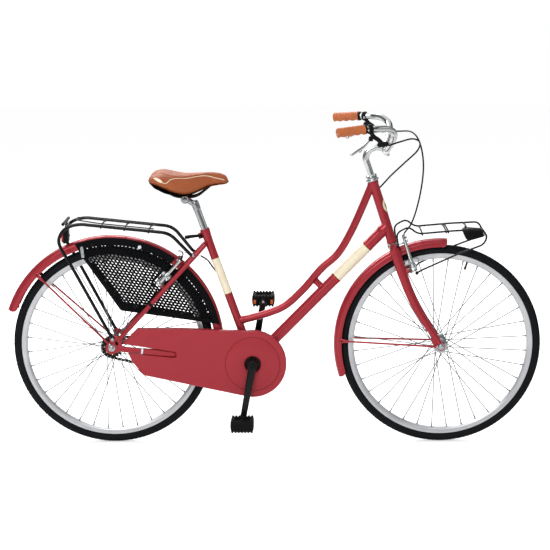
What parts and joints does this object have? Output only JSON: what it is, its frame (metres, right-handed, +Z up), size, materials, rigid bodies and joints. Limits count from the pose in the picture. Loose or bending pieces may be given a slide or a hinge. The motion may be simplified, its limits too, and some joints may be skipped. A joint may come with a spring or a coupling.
{
  "type": "dutch city bike",
  "caption": "City bicycle with a low step-through frame, full chain case, skirt guards, fenders, front and rear carriers, swept handlebar and rim brakes.",
  "frame": {"origin": "on the ground, on the bicycle's centre plane, halfway between the tail of the rear fender and the front of the front tyre", "axes": "+X forward, +Y to the rider's left, +Z up"},
  "size_m": [1.8488, 0.5998, 1.1345],
  "materials": {
    "frame_red": "gloss",
    "tyre_rubber": "matte",
    "polished_aluminium": "satin",
    "chrome_steel": "polished",
    "black_paint": "satin",
    "black_plastic": "matte",
    "guard_net": "matte",
    "tan_leather": "satin",
    "tan_grip": "satin",
    "dark_steel": "oiled",
    "red_lens": "gloss",
    "clear_lens": "clear"
  },
  "bodies": {
    "frame": {"head_tube": "frame_red", "top_tube": "frame_red", "down_tube": "frame_red", "seat_tube": "frame_red", "chainstays": "frame_red", "seatstays": "frame_red", "bottom_bracket_cartridge": "chrome_steel", "headset_upper": "chrome_steel", "headset_lower": "chrome_steel", "rear_fender": "frame_red", "rear_fender_stay": "frame_red", "rear_rack": "black_paint", "tail_light_housing": "black_plastic", "tail_light_lens": "red_lens", "skirt_guard_right": "guard_net", "skirt_guard_left": "guard_net", "chaincase_cover": "frame_red", "chaincase_back": "black_plastic", "rear_axle": "chrome_steel", "rear_brake_cable": "black_plastic", "chain": "dark_steel"},
    "seat_lever": {"seat_quick_release_lever": "black_paint"},
    "saddle_post": {"seat_post": "chrome_steel", "saddle_clamp": "black_paint", "saddle_rails": "black_paint", "saddle": "tan_leather"},
    "rear_arm_right": {"rear_brake_arm_right": "polished_aluminium"},
    "rear_arm_left": {"rear_brake_arm_left": "polished_aluminium"},
    "crank": {"crank_axle": "chrome_steel", "chainwheel": "dark_steel", "crank_right": "black_paint", "crank_left": "black_paint"},
    "pedal_right_body": {"pedal_right": "black_plastic"},
    "pedal_left_body": {"pedal_left": "black_plastic"},
    "rear_wheel": {"rear_tyre": "tyre_rubber", "rear_rim": "polished_aluminium", "rear_hub": "polished_aluminium"},
    "sprocket": {"rear_sprocket": "dark_steel"},
    "steering": {"fork": "frame_red", "headset_locknut": "chrome_steel", "front_fender": "frame_red", "front_fender_stay": "frame_red", "front_rack": "black_paint", "headlamp_housing": "black_plastic", "headlamp_lens": "clear_lens", "stem": "polished_aluminium", "handlebar": "chrome_steel", "grip_right": "tan_grip", "grip_left": "tan_grip", "brake_perch_right": "black_paint", "brake_perch_left": "black_paint", "front_axle": "chrome_steel", "front_brake_cable": "black_plastic"},
    "lever_right": {"brake_lever_right": "polished_aluminium"},
    "lever_left": {"brake_lever_left": "polished_aluminium"},
    "front_arm_right": {"front_brake_arm_right": "polished_aluminium"},
    "front_arm_left": {"front_brake_arm_left": "polished_aluminium"},
    "front_wheel": {"front_tyre": "tyre_rubber", "front_rim": "polished_aluminium", "front_hub": "polished_aluminium"}
  },
  "joints": [
    {"name": "steering_turn", "type": "hinge", "parent": "frame", "child": "steering", "pos_m": [0.37551, 0, 0.80887], "axis": [-0.3015, 0, 0.9535], "range_deg": [-60, 60], "deforming": ["rear_brake_cable"]},
    {"name": "front_wheel_spin", "type": "hinge", "parent": "steering", "child": "front_wheel", "pos_m": [0.57643, 0, 0.348], "axis": [0, 1, 0], "continuous": true},
    {"name": "rear_wheel_spin", "type": "hinge", "parent": "frame", "child": "rear_wheel", "pos_m": [-0.56057, 0, 0.348], "axis": [0, 1, 0], "continuous": true},
    {"name": "crank_spin", "type": "hinge", "parent": "frame", "child": "crank", "pos_m": [-0.07457, 0, 0.2885], "axis": [0, 1, 0], "continuous": true},
    {"name": "sprocket_spin", "type": "hinge", "parent": "frame", "child": "sprocket", "pos_m": [-0.56057, -0.044, 0.348], "axis": [0, 1, 0], "continuous": true},
    {"name": "pedal_right_spin", "type": "hinge", "parent": "crank", "child": "pedal_right_body", "pos_m": [-0.10962, -0.137, 0.09566], "axis": [0, 1, 0], "continuous": true},
    {"name": "pedal_left_spin", "type": "hinge", "parent": "crank", "child": "pedal_left_body", "pos_m": [-0.03952, 0.137, 0.48134], "axis": [0, 1, 0], "continuous": true},
    {"name": "brake_lever_right_pull", "type": "hinge", "parent": "steering", "child": "lever_right", "pos_m": [0.32143, -0.247, 1.085], "axis": [0, 1, 0], "range_deg": [0, 22], "stiffness_Nm_per_rad": 0.8, "deforming": ["rear_brake_cable"]},
    {"name": "brake_lever_left_pull", "type": "hinge", "parent": "steering", "child": "lever_left", "pos_m": [0.32143, 0.247, 1.085], "axis": [0, 1, 0], "range_deg": [0, 22], "stiffness_Nm_per_rad": 0.8, "deforming": ["front_brake_cable"]},
    {"name": "rear_brake_arm_right_close", "type": "hinge", "parent": "frame", "child": "rear_arm_right", "pos_m": [-0.39435, -0.042, 0.57071], "axis": [-0.7345, 0, 0.6786], "range_deg": [0, 3.5]},
    {"name": "rear_brake_arm_left_close", "type": "hinge", "parent": "frame", "child": "rear_arm_left", "pos_m": [-0.39435, 0.042, 0.57071], "axis": [0.7345, 0, -0.6786], "range_deg": [0, 3.5]},
    {"name": "front_brake_arm_right_close", "type": "hinge", "parent": "steering", "child": "front_arm_right", "pos_m": [0.46608, -0.042, 0.61201], "axis": [-0.9535, 0, -0.3015], "range_deg": [0, 3.5]},
    {"name": "front_brake_arm_left_close", "type": "hinge", "parent": "steering", "child": "front_arm_left", "pos_m": [0.46608, 0.042, 0.61201], "axis": [0.9535, 0, 0.3015], "range_deg": [0, 3.5]},
    {"name": "seat_height", "type": "slide", "parent": "frame", "child": "saddle_post", "axis": [-0.3323, 0, 0.9432], "range_m": [-0.04, 0.06]},
    {"name": "seat_lever_open", "type": "hinge", "parent": "frame", "child": "seat_lever", "pos_m": [-0.24945, -0.0115, 0.732], "axis": [-0.3323, 0, 0.9432], "range_deg": [0, 120]}
  ],
  "couplings": [
    {"joint": "sprocket_spin", "follows": "crank_spin", "ratio": 2.4444},
    {"joint": "rear_brake_arm_right_close", "follows": "brake_lever_right_pull", "ratio": 0.159},
    {"joint": "front_brake_arm_right_close", "follows": "brake_lever_left_pull", "ratio": 0.159},
    {"joint": "rear_brake_arm_left_close", "follows": "brake_lever_right_pull", "ratio": 0.159},
    {"joint": "front_brake_arm_left_close", "follows": "brake_lever_left_pull", "ratio": 0.159}
  ]
}
